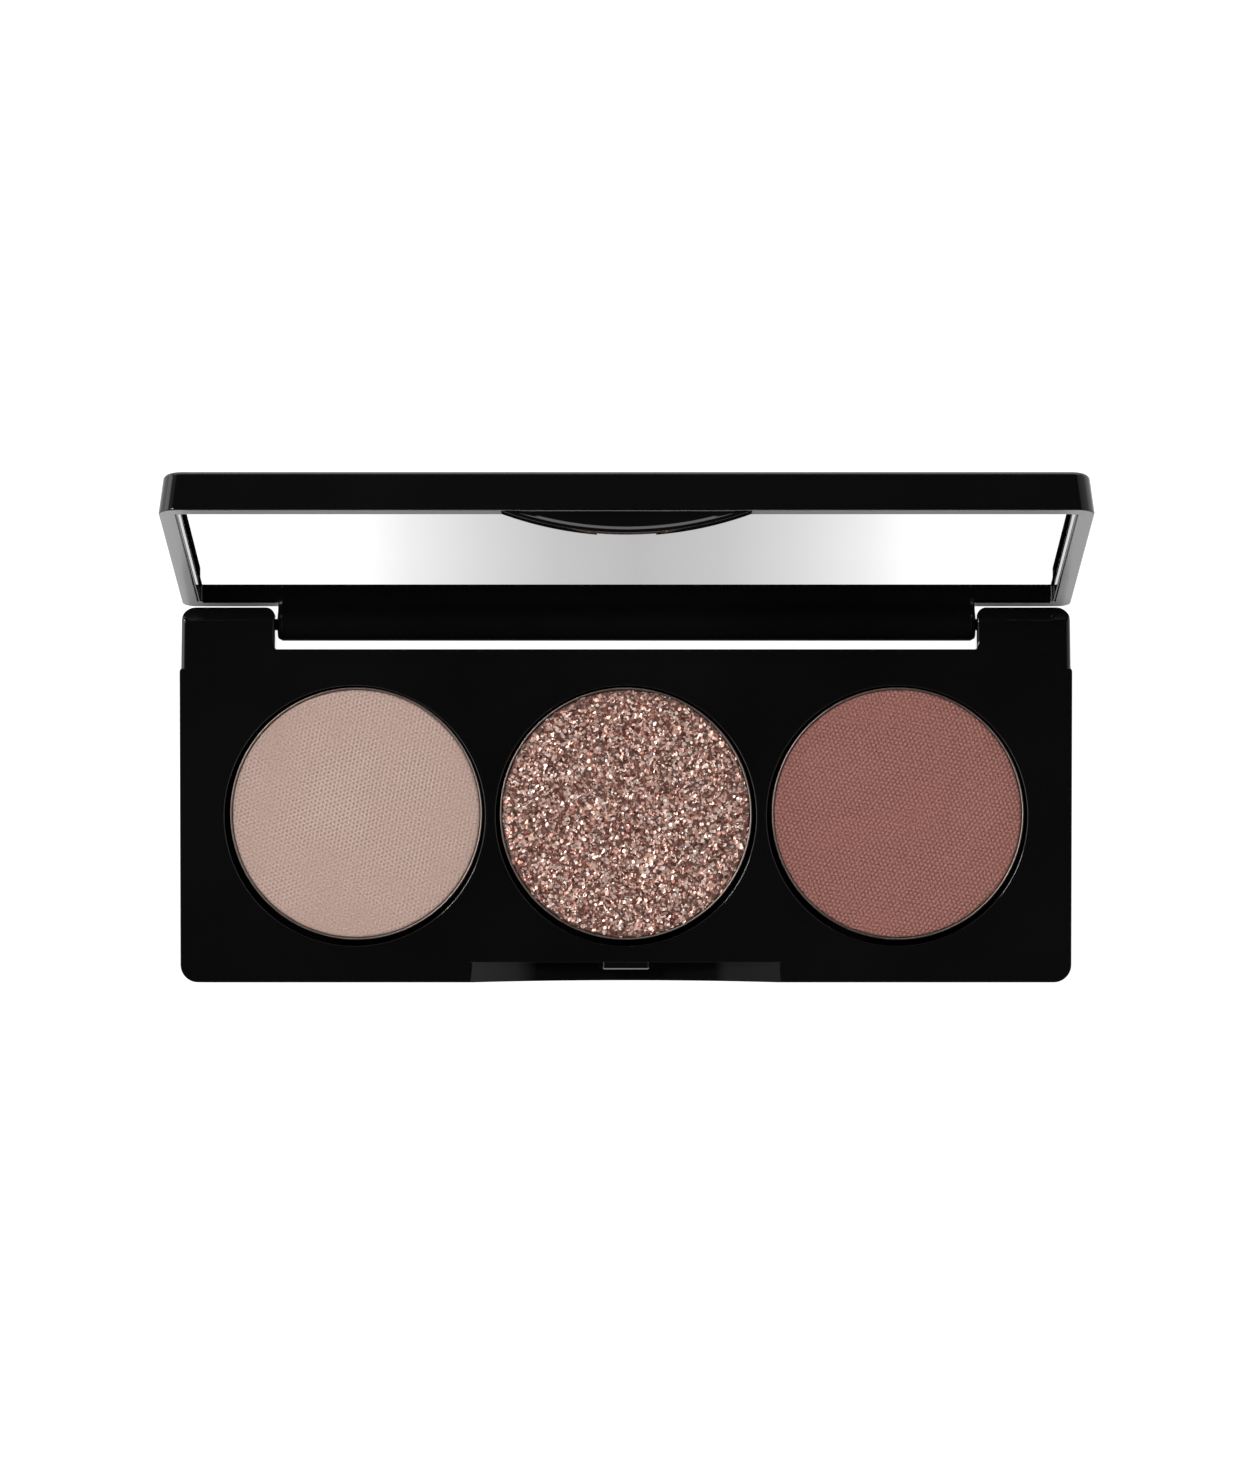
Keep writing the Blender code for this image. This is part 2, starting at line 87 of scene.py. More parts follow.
# Glitter: a bed with loose flakes in it. Each tint is (shade, colour).
BED_DROP = 0.12
BED_ROUND = 0.25
BED_SEGMENTS = 128
FLAKES = 11000
FLAKE_SEED = 7
FLAKE_SIZE = (0.2, 0.52)
FLAKE_REACH = 0.992
FLAKE_LIFT = 0.09
FLAKE_LEAN = 22.0
FLAKE_MOST_LEAN = 60.0
FLAKE_RIM = 0.3
FLAKE_RIM_DROP = 0.1
FLAKE_NARROWEST = 0.6
FLAKE_JITTER = 0.2
FLAKE_ABOVE_PAN = 0.05
FLAKE_METAL = 0.65
FLAKE_TINTS = [
    (0.0, (0.14, 0.042, 0.03)),
    (0.3, (0.42, 0.165, 0.12)),
    (0.56, (1.0, 0.58, 0.46)),
    (1.0, (1.0, 0.85, 0.77)),
]

# Front: the finger scoop, and the catch nub in it as (height, inset) pairs.
SCOOP_HALF = 15.85
SCOOP_DROP = 3.45
SCOOP_DEPTH = 2.05
SCOOP_OVERRUN = 1.04
NUB_HALF = 2.45
NUB_DEPTH = 0.77
NUB_CORNER = 0.28
NUB_LEVELS = [(6.1, 0.12), (6.22, 0.0), (6.5, 0.03), (6.7, 0.075), (6.85, 0.13), (6.93, 0.19), (6.97, 0.28)]

# Hinge. HINGE_CURVE runs from the skirt down to the barrel, as (y, z) from the axis with the lid closed.
# BARREL_END holds (distance from the barrel's end, inset).
AXIS_Y = 17.445
AXIS_Z = 4.7
OPEN_DEG = 103.1
PIN_RADIUS = 0.6
PIN_INNER = 29.6
PIN_PLAY = 0.05
BARREL_RADIUS = 1.65
BARREL_HALF = 35.45
BARREL_START_DEG = 141.0
BARREL_END = [
    (0.55, 0.0),
    (0.5, 0.004),
    (0.45, 0.02),
    (0.4, 0.045),
    (0.14, 0.19),
    (0.08, 0.235),
    (0.03, 0.3),
    (0.0, 0.4),
]
SKIRT_INNER = -0.37
SKIRT_PROUD = 0.1
SKIRT_OUTER = 1.5
SKIRT_LOW = 2.35
HINGE_CURVE = [
    (-0.49, 2.18),
    (-0.54, 2.0),
    (-0.62, 1.84),
    (-0.72, 1.69),
    (-0.84, 1.55),
    (-0.98, 1.4),
    (-1.13, 1.22),
]

# Lid, measured from the hinge axis with the lid closed. PARTING is the height of its rim.
LID_SHIFT = 0.06
PARTING = 2.33
LID_THICK = 3.9
LID_HALF = 45.27
LID_FRONT = FRONT_Y - AXIS_Y
LID_BACK = BACK_Y - AXIS_Y
LID_DRAFT = 0.12
LID_ROUND = 0.45
PARTING_ROUND = 0.15
RIM = 1.65
SIDE_RIM = 1.89
RIM_ROUND = 0.06
RIM_LINE = 1.67
RIM_LINE_WIDTH = 0.1
RIM_LINE_FLOOR = 0.02
RIM_LINE_DEPTH = 0.12
REAR_ROUND = 0.65
MIRROR_DROP = 1.72
MIRROR_THICK = 1.0
MIRROR_GAP = 0.1
TAPE_ROOM = 0.16

# Finger lip. LIP_EDGE holds (distance behind its outer face, inset) round its lower outer edge.
LIP_HALF = 12.1
LIP_DROP = 2.2
LIP_OUTER = LID_FRONT + 0.24
LIP_INNER = LID_FRONT + 1.62
LIP_EDGE = [
    (0.1, 0.0),
    (0.03, 0.03),
    (0.0, 0.1),
    (0.0, 0.28),
    (0.012, 0.33),
    (0.055, 0.42),
    (0.105, 0.52),
    (0.15, 0.62),
    (0.18, 0.72),
    (0.19, 0.82),
]
CATCH_GROOVE_HALF = 2.85
CATCH_GROOVE_DEPTH = 0.6

# Smooth shading: a face larger than WIDE_FACE, in mm2, that doesn't lean sideways and is nearly square to
# the y or z axis is drawn flat.
SHARP_DEG = 32.0
WIDE_FACE = 0.005
LEVEL = 0.01
NEARLY_SQUARE = 0.9

# Camera: straight down, from above the hinge side of the middle.
CAMERA_AT = (-0.09, 6.728, 668.39)
CAMERA_LENS = 160.85
CAMERA_SENSOR = 36.0

# Materials. The mix node's colour sockets go by number.
EDGE_SOFTNESS = 0.07
PLASTIC_IOR = 1.5
PIN_GRAIN = (0.2, 1.0, 1.0)
MIX_FIRST = 6
MIX_SECOND = 7
MIX_RESULT = 2

# Studio, in metres. Levels are radiances. SKY_STOPS holds (sideways direction, level).
SKY_STRENGTH = 2.5
SKY_STOPS = [
    (-1.0, 2.3),
    (-0.79, 2.3),
    (-0.75, 0.3),
    (-0.50, 0.25),
    (-0.45, 0.0),
    (0.45, 0.0),
    (0.55, 0.33),
    (0.97, 0.7),
]
HORIZON_LOW = 0.06
HORIZON_HIGH = 0.2
HORIZON_GLOW = 0.8
LAMPS = [
    ("key", (-0.322, 0.182, 0.594), (0.15, 0.15), 34.0),
    ("back_strip", (0.0, 0.6, 0.17), (0.9, 0.2), 2.6),
]
FILL_AT = (0.0, 0.0, 0.9)
FILL_SIZE = (0.8, 0.8)
FILL_RADIANCE = 1.2
FLOOR_GLOW = 1.0
FLOOR_REACH = 4.0
FLOOR_LEVEL = -0.00002

# Reflector and flag beside the hinge, in millimetres. CARDS holds (edge, edge, radiance), each edge as
# (y, z). CARD_LEVELS holds (distance from CARD_MIDDLE over CARD_HALF, share of the radiance).
CARD_WIDTH = 94.0
CARD_SPREAD_DEG = 90.0
CARD_MIDDLE = 1.2
CARD_HALF = 28.0
CARDS = [((21.45, 4.25), (19.26, 5.5), 0.247), ((20.1, 7.1), (12.4, 7.3), 0.469)]
CARD_LEVELS = [(0.0, 0.486), (0.30, 0.547), (0.57, 0.675), (0.83, 0.838), (1.0, 1.0)]
FLAG_EDGES = [((21.3, 4.29), (19.21, 5.42)), ((20.07, 7.05), (NOTCH_Y, 7.05))]


# ---------------------------------------------------------------- shapes


def outline(corners, inset=0.0, steps=10):
    """Points of a closed outline, moved inward by inset. Each corner is (x, y, radius), anticlockwise."""
    points = []
    count = len(corners)
    for i in range(count):
        x, y, radius = corners[i]
        here = Vector((x, y))
        before = (here - Vector(corners[i - 1][:2])).normalized()
        after = (Vector(corners[(i + 1) % count][:2]) - here).normalized()
        left_before = Vector((-before.y, before.x))
        left_after = Vector((-after.y, after.x))
        mitre = here + (left_before + left_after) * (inset / (1.0 + left_before.dot(left_after)))
        turn = math.atan2(before.cross(after), before.dot(after))
        if radius == 0.0:
            points.append(mitre)
            continue
        side = 1.0 if turn > 0.0 else -1.0
        bend = max(radius - side * inset, 0.05)
        start = mitre - before * (bend * math.tan(abs(turn) / 2.0))
        centre = start + left_before * (side * bend)
        arm = start - centre
        for k in range(steps + 1):
            angle = turn * k / steps
            spoke = (
                arm.x * math.cos(angle) - arm.y * math.sin(angle),
                arm.x * math.sin(angle) + arm.y * math.cos(angle),
            )
            points.append(centre + Vector(spoke))
    return points


def rounding(start, end, radius, count):
    """(height, inset) pairs of an edge rounding: upright at start, level at end."""
    side = 1.0 if end > start else -1.0
    pairs = []
    for k in range(count + 1):
        angle = 0.5 * math.pi * k / count
        pairs.append((end - side * radius * (1.0 - math.sin(angle)), radius * (1.0 - math.cos(angle))))
    return pairs


def to_object(name, bm):
    bmesh.ops.remove_doubles(bm, verts=bm.verts, dist=1e-7)
    bmesh.ops.recalc_face_normals(bm, faces=bm.faces)
    mesh = bpy.data.meshes.new(name)
    bm.to_mesh(mesh)
    bm.free()
    obj = bpy.data.objects.new(name, mesh)
    bpy.context.scene.collection.objects.link(obj)
    return obj


def loft(name, rings, place):
    """A closed solid through rings of equal point count. place turns (u, v, height) into x, y, z in mm."""
    bm = bmesh.new()
    rows = []
    for points, height in rings:
        rows.append([bm.verts.new(Vector(place(p[0], p[1], height)) * MM) for p in points])
    for lower, upper in zip(rows, rows[1:]):
        for i in range(len(lower)):
            bm.faces.new((lower[i - 1], lower[i], upper[i], upper[i - 1]))
    bm.faces.new(list(reversed(rows[0])))
    bm.faces.new(rows[-1])
    return to_object(name, bm)


def upright(u, v, height):
    return (u, v, height)


def crosswise(u, v, height):
    return (height, u, v)


def frontwise(u, v, height):
    return (u, height, v)


def revolve(name, profile, centre, segments):
    """A closed solid of revolution about an upright axis. profile is (radius, z), both ends on the axis."""
    bm = bmesh.new()
    rows = []
    for radius, z in profile:
        if radius == 0.0:
            rows.append([bm.verts.new(Vector((centre[0], centre[1], z)) * MM)])
            continue
        row = []
        for k in range(segments):
            angle = 2.0 * math.pi * k / segments
            x = centre[0] + radius * math.cos(angle)
            y = centre[1] + radius * math.sin(angle)
            row.append(bm.verts.new(Vector((x, y, z)) * MM))
        rows.append(row)
    for lower, upper in zip(rows, rows[1:]):
        for i in range(segments):
            if len(lower) == 1:
                bm.faces.new((lower[0], upper[i], upper[i - 1]))
            elif len(upper) == 1:
                bm.faces.new((lower[i - 1], lower[i], upper[0]))
            else:
                bm.faces.new((lower[i - 1], lower[i], upper[i], upper[i - 1]))
    return to_object(name, bm)


def combine(target, tool, operation):
    """Adds or removes tool from target for good, then drops the tool."""
    modifier = target.modifiers.new(tool.name, "BOOLEAN")
    modifier.operation = operation
    modifier.solver = "EXACT"
    modifier.object = tool
    graph = bpy.context.evaluated_depsgraph_get()
    result = bpy.data.meshes.new_from_object(target.evaluated_get(graph))
    target.modifiers.clear()
    target.data = result
    bpy.data.objects.remove(tool, do_unlink=True)


def dress(obj, paint):
    """Gives a finished piece its material and its shading, and returns it."""
    obj.data.materials.clear()
    obj.data.materials.append(paint)
    for face in obj.data.polygons:
        wide = face.area > WIDE_FACE * MM * MM and abs(face.normal.x) < LEVEL
        face.use_smooth = not (wide and max(abs(face.normal.y), abs(face.normal.z)) > NEARLY_SQUARE)
        face.material_index = 0
    obj.data.set_sharp_from_angle(angle=math.radians(SHARP_DEG))
    even = obj.modifiers.new("even_normals", "WEIGHTED_NORMAL")
    even.keep_sharp = True
    even.weight = 100
    return obj


def open_lid(obj):
    """Turns a lid piece, made closed and measured from the hinge axis, to where the lid rests."""
    swing = Matrix.Rotation(math.radians(-OPEN_DEG), 4, "X")
    obj.data.transform(Matrix.Translation(Vector((LID_SHIFT, AXIS_Y, AXIS_Z)) * MM) @ swing)


# ---------------------------------------------------------------- base


def base_corners():
    """The base's outline from above, with the notch for the hinge at the back."""
    right = [
        (HALF_WIDTH - SIDE_FLARE, FRONT_Y, FRONT_CORNER),
        (HALF_WIDTH + SIDE_FLARE, EAR_STEP_Y - EAR_STEP_HALF, 0.0),
        (HALF_WIDTH - EAR_INSET_FRONT, EAR_STEP_Y + EAR_STEP_HALF, 0.0),
        (HALF_WIDTH - EAR_INSET_BACK, BACK_Y, EAR_CORNER),
        (NOTCH_HALF, BACK_Y, NOTCH_CORNER),
        (NOTCH_HALF, NOTCH_Y, NOTCH_INNER_CORNER),
    ]
    left = [(-x, y, radius) for x, y, radius in reversed(right)]
    return right + left


def draft(z):
    """How far the base's walls lean in at a height."""
    return DRAFT * (BASE_TOP - z)


def edge_cutter(name, side, stations):
    """Rounds a top edge that runs along y. side points out of the plastic. stations are (y, x, radius)."""
    rings = []
    steps = 14
    for y, edge, radius in stations:
        points = []
        for k in range(steps + 1):
            angle = 0.5 * math.pi * k / steps
            x = edge - side * radius * (1.0 - math.sin(angle))
            points.append((x, BASE_TOP - radius * (1.0 - math.cos(angle))))
        points.append((edge + side, BASE_TOP - radius))
        points.append((edge + side, BASE_TOP + 1.0))
        points.append((edge - side * radius, BASE_TOP + 1.0))
        rings.append((points, y))
    return loft(name, rings, frontwise)


def ear_back_cutter():
    """Trims the ears to a cylinder about the hinge axis, so that the lid's rear edge swings past them."""
    reach = BASE_TOP - AXIS_Z
    steps = 26
    points = []
    for k in range(steps + 1):
        angle = math.radians(90.0 - EAR_BACK_SWEEP * k / steps)
        points.append((AXIS_Y + reach * math.cos(angle), AXIS_Z + reach * math.sin(angle)))
    behind = AXIS_Y + 4.0
    points += [(behind, points[-1][1]), (behind, BASE_TOP + 1.0), (AXIS_Y, BASE_TOP + 1.0)]
    return loft("ear_back", [(points, -CUT_REACH), (points, CUT_REACH)], crosswise)


def round_ears(tray):
    """Rounds the ears' top edges: wide outside, narrow inside, fading out where the notch begins."""
    steps = 12
    for side in (-1.0, 1.0):
        front = side * (HALF_WIDTH - EAR_INSET_FRONT)
        back = side * (HALF_WIDTH - EAR_INSET_BACK)
        start, end = EAR_STEP_Y + 0.1, BACK_Y + 1.0
        outer = []
        for k in range(steps + 1):
            share = k / steps
            outer.append((start + share * (end - start), front + share * (back - front), EAR_OUTER_ROUND))
        combine(tray, edge_cutter("outer", side, outer), "DIFFERENCE")
        inner = [(NOTCH_Y + 0.3, side * NOTCH_HALF, TOP_ROUND)]
        for k in range(9):
            inner.append((NOTCH_Y + 0.7 + k * 0.6, side * NOTCH_HALF, EAR_INNER_ROUND))
        combine(tray, edge_cutter("inner", -side, inner), "DIFFERENCE")
    combine(tray, ear_back_cutter(), "DIFFERENCE")


def scoop_cutter():
    """The smile-shaped finger notch in the front wall."""
    radius = (SCOOP_HALF**2 + SCOOP_DROP**2) / (2.0 * SCOOP_DROP)
    middle = BASE_TOP - SCOOP_DROP + radius
    reach = math.asin(SCOOP_HALF / radius) * SCOOP_OVERRUN
    steps = 64
    points = []
    for k in range(steps + 1):
        angle = -reach + 2.0 * reach * k / steps
        points.append((radius * math.sin(angle), middle - radius * math.cos(angle)))
    points.append((points[-1][0], BASE_TOP + 2.0))
    points.append((points[0][0], BASE_TOP + 2.0))
    back = FRONT_Y + SCOOP_DEPTH
    return loft("scoop", [(points, FRONT_Y - 1.0), (points, back)], frontwise)


def catch_nub():
    """The small block in the scoop that the lid snaps over."""
    back = FRONT_Y + SCOOP_DEPTH
    shape = [
        (-NUB_HALF, back - NUB_DEPTH, NUB_CORNER),
        (NUB_HALF, back - NUB_DEPTH, NUB_CORNER),
        (NUB_HALF, back + 0.6, 0.0),
        (-NUB_HALF, back + 0.6, 0.0),
    ]
    return loft("nub", [(outline(shape, inset, 8), z) for z, inset in NUB_LEVELS], upright)


def base_tray(paint):
    """The upper casing with its three wells, ears, scoop and nub."""
    corners = base_corners()
    levels = [(TRAY_BOTTOM, draft(TRAY_BOTTOM) + 0.1), (TRAY_BOTTOM + 0.1, draft(TRAY_BOTTOM))]
    levels += rounding(TRAY_BOTTOM, BASE_TOP, TOP_ROUND, 6)
    tray = loft("tray_casing", [(outline(corners, inset), z) for z, inset in levels], upright)
    well = [(0.0, WELL_FLOOR), (WELL_RADIUS, WELL_FLOOR)]
    well += [(WELL_RADIUS + wider, BASE_TOP + higher) for wider, higher in WELL_EDGE]
    well += [(0.0, BASE_TOP + 1.0)]
    for x in (-WELL_X, 0.0, WELL_X):
        combine(tray, revolve("well", well, (x, WELL_Y), ROUND_SEGMENTS), "DIFFERENCE")
    combine(tray, scoop_cutter(), "DIFFERENCE")
    combine(tray, catch_nub(), "UNION")
    round_ears(tray)
    dress(tray, paint)
    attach(tray, "base")
    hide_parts("base_tray")


def bottom_cover(paint):
    """The plate under the tray, with a shallow recess for the label."""
    lowest = draft(0.0)
    levels = [(z, lowest + inset) for z, inset in reversed(rounding(COVER_TOP, 0.0, COVER_ROUND, 8))]
    levels += [(COVER_TOP - 0.08, lowest), (COVER_TOP, lowest + 0.08)]
    cover = loft("bottom_cover", [(outline(base_corners(), inset), z) for z, inset in levels], upright)
    ends = [(LABEL_LEFT, -1.0), (LABEL_RIGHT, -1.0), (LABEL_RIGHT, 1.0), (LABEL_LEFT, 1.0)]
    edge = outline([(x, side * LABEL_HALF_DEPTH, 1.0) for x, side in ends], -0.12, 6)
    combine(cover, loft("recess", [(edge, -1.0), (edge, LABEL_RECESS)], upright), "DIFFERENCE")
    dress(cover, paint)
    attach(cover, "base")
    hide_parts("base_bottom_cover")


def pan(side, x, paint):
    """A pressed tin with a round bottom edge and a rounded rim."""
    bend = PAN_BOTTOM_ROUND
    profile = [(0.0, PAN_BOTTOM)]
    for k in range(7):
        angle = 0.5 * math.pi * k / 6
        height = PAN_BOTTOM + bend - bend * math.cos(angle)
        profile.append((PAN_RADIUS - bend + bend * math.sin(angle), height))
    lip = PAN_WALL / 2.0
    for k in range(9):
        angle = math.pi * k / 8
        profile.append((PAN_RADIUS - lip + lip * math.cos(angle), PAN_TOP - lip + lip * math.sin(angle)))
    profile += [(PAN_RADIUS - PAN_WALL, PAN_BOTTOM + PAN_FLOOR), (0.0, PAN_BOTTOM + PAN_FLOOR)]
    tin = dress(revolve("tin_" + side, profile, (x, PAN_Y), ROUND_SEGMENTS), paint)
    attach(tin, "base")
    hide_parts("pan_" + side)


def powder_profile(top, bend, steps):
    """Half the section of a pressed cake whose upper edge is rounded, without its top."""
    radius = PAN_RADIUS - PAN_WALL - POWDER_GAP
    bottom = PAN_BOTTOM + POWDER_BOTTOM
    profile = [(0.0, bottom), (radius, bottom)]
    return profile + [(radius - inset, z) for z, inset in rounding(bottom, top, bend, steps)]


def powder(side, x, paint):
    """A pressed cake of matte powder."""
    radius = PAN_RADIUS - PAN_WALL - POWDER_GAP
    profile = powder_profile(POWDER_TOP, POWDER_ROUND, 7)
    profile += [(radius * share, POWDER_TOP) for share in POWDER_RINGS]
    profile.append((0.0, POWDER_TOP))
    cake = dress(revolve("cake_" + side, profile, (x, PAN_Y), ROUND_SEGMENTS), paint)
    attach(cake, "base")
    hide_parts("powder_" + side)


def glitter_bed(x, top, paint):
    radius = PAN_RADIUS - PAN_WALL - POWDER_GAP
    profile = powder_profile(top, BED_ROUND, 6)
    profile += [(radius * 0.5, top), (0.0, top)]
    bed = dress(revolve("glitter_bed", profile, (x, PAN_Y), BED_SEGMENTS), paint)
    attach(bed, "base")
    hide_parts("powder_centre")


def flake(draw, x, top):
    """The corners of one thin flake of four to six sides, tilted at random."""
    radius = PAN_RADIUS - PAN_WALL - POWDER_GAP
    place = radius * math.sqrt(draw.random()) * FLAKE_REACH
    turn = draw.uniform(0.0, 2.0 * math.pi)
    size = draw.uniform(*FLAKE_SIZE)
    middle = Vector((x + place * math.cos(turn), PAN_Y + place * math.sin(turn), 0.0))
    middle.z = top + draw.uniform(0.0, FLAKE_LIFT)
    lean = min(abs(draw.gauss(0.0, FLAKE_LEAN)), FLAKE_MOST_LEAN)
    if place > radius - FLAKE_RIM:
        middle.z -= FLAKE_RIM_DROP
    tilt = Matrix.Rotation(math.radians(lean), 3, "X")
    spin = Matrix.Rotation(draw.uniform(0.0, 2.0 * math.pi), 3, "Z")
    corners = draw.choice((4, 5, 6))
    reach = draw.uniform(FLAKE_NARROWEST, 1.0)
    spots = []
    for k in range(corners):
        angle = 2.0 * math.pi * (k + draw.uniform(-FLAKE_JITTER, FLAKE_JITTER)) / corners
        point = Vector((0.5 * size * math.cos(angle), 0.5 * size * reach * math.sin(angle), 0.0))
        spot = middle + spin @ tilt @ point
        spot.z = min(spot.z, PAN_TOP + FLAKE_ABOVE_PAN)
        spots.append(spot * MM)
    return spots


def glitter_flakes(x, top, paint):
    """Thousands of separate flakes on the bed, each with its own shade."""
    draw = random.Random(FLAKE_SEED)
    verts = []
    faces = []
    shades = []
    for _ in range(FLAKES):
        spots = flake(draw, x, top)
        faces.append(tuple(range(len(verts), len(verts) + len(spots))))
        verts += spots
        shades.append(draw.random())
    mesh = bpy.data.meshes.new("glitter_flakes")
    mesh.from_pydata(verts, [], faces)
    layer = mesh.attributes.new("shade", "FLOAT", "FACE")
    layer.data.foreach_set("value", shades)
    mesh.materials.append(paint)
    flakes = bpy.data.objects.new("glitter_flakes", mesh)
    bpy.context.scene.collection.objects.link(flakes)
    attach(flakes, "base")


# ---------------------------------------------------------------- lid


def lid_corners(side, front, back, front_corner, back_corner):
    """A rectangle for outline(), with one corner radius in front and one at the back."""
    return [
        (-side, front, front_corner),
        (side, front, front_corner),
        (side, back, back_corner),
        (-side, back, back_corner),
    ]


def hinge_skirt():
    """The lid's rear wall between the ears, and the hinge barrel under it, as one section."""
    high = PARTING + MIRROR_DROP - 0.02
    proud = SKIRT_INNER - SKIRT_PROUD
    points = [(SKIRT_OUTER, high, 0.0), (proud, high, 0.0), (proud, SKIRT_LOW, 0.0)]
    points += [(y, z, 0.0) for y, z in HINGE_CURVE]
    first = math.radians(BARREL_START_DEG)
    last = 2.0 * math.pi - math.acos(SKIRT_OUTER / BARREL_RADIUS)
    steps = 40
    for k in range(steps + 1):
        angle = first + (last - first) * k / steps
        points.append((BARREL_RADIUS * math.cos(angle), BARREL_RADIUS * math.sin(angle), 0.0))
    ends = [(BARREL_HALF - back, inset) for back, inset in BARREL_END]
    stations = [(-x, inset) for x, inset in reversed(ends)] + ends
    return loft("skirt", [(outline(points, inset), x) for x, inset in stations], crosswise)


def crescent(inset, steps):
    """The finger lip's outline, moved inward along its arc only. It ends inside the lid's front wall."""
    radius = (LIP_HALF**2 + LIP_DROP**2) / (2.0 * LIP_DROP)
    middle = PARTING - LIP_DROP + radius
    arc = radius - inset
    reach = math.acos((middle - PARTING) / arc)
    points = []
    for k in range(steps + 1):
        angle = -reach + 2.0 * reach * k / steps
        points.append((arc * math.sin(angle), middle - arc * math.cos(angle)))
    points.append((points[-1][0], PARTING + 0.5))
    points.append((points[0][0], PARTING + 0.5))
    return points


def finger_lip():
    """The crescent that a finger lifts the lid by, with a dish in its outer face."""
    levels = [(LIP_INNER, 0.12), (LIP_INNER - 0.035, 0.035), (LIP_INNER - 0.12, 0.0)]
    levels += [(LIP_OUTER + behind, inset) for behind, inset in LIP_EDGE]
    return loft("lip", [(crescent(inset, 60), y) for y, inset in levels], frontwise)


def rear_edge_cutter(side):
    """Rounds the inner edge of the rear rim between the hinge barrel and the side wall."""
    points = [(SKIRT_INNER - 0.2, PARTING + REAR_ROUND), (SKIRT_INNER - 0.2, PARTING - 0.2)]
    points += [(SKIRT_INNER + REAR_ROUND, PARTING - 0.2)]
    steps = 12
    for k in range(steps + 1):
        angle = 0.5 * math.pi * k / steps
        across = SKIRT_INNER + REAR_ROUND * (1.0 - math.sin(angle))
        points.append((across, PARTING + REAR_ROUND * (1.0 - math.cos(angle))))
    ends = sorted((side * (BARREL_HALF - 0.6), side * (LID_HALF - SIDE_RIM - 0.25)))
    return loft("rear_edge", [(points, ends[0]), (points, ends[1])], crosswise)


def rim_line(side):
    """A fine V groove along a side rim, just outside its inner edge."""
    middle = side * (LID_HALF - RIM_LINE)
    points = [(middle - RIM_LINE_WIDTH, PARTING - 0.01), (middle + RIM_LINE_WIDTH, PARTING - 0.01)]
    floor_height = PARTING + RIM_LINE_DEPTH
    points += [(middle + RIM_LINE_FLOOR, floor_height), (middle - RIM_LINE_FLOOR, floor_height)]
    return loft("rim_line", [(points, LID_FRONT + RIM), (points, SKIRT_INNER)], frontwise)


def lid_casing():
    top = PARTING + LID_THICK
    levels = list(reversed(rounding(top, PARTING, PARTING_ROUND, 4))) + rounding(PARTING, top, LID_ROUND, 10)
    rings = []
    for z, inset in levels:
        half = LID_HALF - LID_DRAFT * (z - PARTING)
        corners = lid_corners(half, LID_FRONT, LID_BACK, FRONT_CORNER, EAR_CORNER)
        rings.append((outline(corners, inset, 12), z))
    return loft("lid_casing", rings, upright)


def lid_hollow():
    """The room for the mirror and its tape, a little wider at the rim to round the rim's inner edge."""
    inner = lid_corners(LID_HALF - SIDE_RIM, LID_FRONT + RIM, SKIRT_INNER + 0.01, 0.5, 0.3)
    rings = [(outline(inner, -RIM_ROUND, 10), PARTING - 1.0)]
    for k in range(9):
        angle = 0.5 * math.pi * (0.06 + 0.94 * k / 8)
        swell = -RIM_ROUND * (1.0 - math.sin(angle))
        rings.append((outline(inner, swell, 10), PARTING + RIM_ROUND * (1.0 - math.cos(angle)) - 0.002))
    rings.append((outline(inner, 0.0, 10), PARTING + MIRROR_DROP + MIRROR_THICK + TAPE_ROOM))
    return loft("lid_hollow", rings, upright)


def catch_groove():
    """Clears the catch nub under the finger lip."""
    front, back = LIP_INNER - CATCH_GROOVE_DEPTH, LIP_INNER + CATCH_GROOVE_DEPTH
    half = CATCH_GROOVE_HALF
    slot = outline([(-half, front, 0.0), (half, front, 0.0), (half, back, 0.0), (-half, back, 0.0)])
    return loft("groove", [(slot, PARTING - 4.0), (slot, PARTING - 0.05)], upright)


def pin_bore(side):
    ends = sorted((side * (PIN_INNER - 0.4), side * (BARREL_HALF + 1.0)))
    reach = PIN_RADIUS + PIN_PLAY
    steps = 32
    ring = []
    for k in range(steps):
        angle = 2.0 * math.pi * k / steps
        ring.append((reach * math.cos(angle), reach * math.sin(angle)))
    return loft("bore", [(ring, ends[0]), (ring, ends[1])], crosswise)


def paint_rim(shell, rim_paint):
    """Gives the faces on the parting plane their own finish. The shell is still closed here."""
    shell.data.materials.append(rim_paint)
    for face in shell.data.polygons:
        if face.normal.z < -0.99 and abs(face.center.z - PARTING * MM) < 0.02 * MM:
            face.material_index = 1


def lid_shell(paint, rim_paint):
    shell = lid_casing()
    combine(shell, lid_hollow(), "DIFFERENCE")
    for side in (-1.0, 1.0):
        combine(shell, rear_edge_cutter(side), "DIFFERENCE")
        combine(shell, rim_line(side), "DIFFERENCE")
    combine(shell, hinge_skirt(), "UNION")
    combine(shell, finger_lip(), "UNION")
    combine(shell, catch_groove(), "DIFFERENCE")
    for side in (-1.0, 1.0):
        combine(shell, pin_bore(side), "DIFFERENCE")
    dress(shell, paint)
    paint_rim(shell, rim_paint)
    open_lid(shell)
    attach(shell, "lid")
    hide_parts("lid_shell")


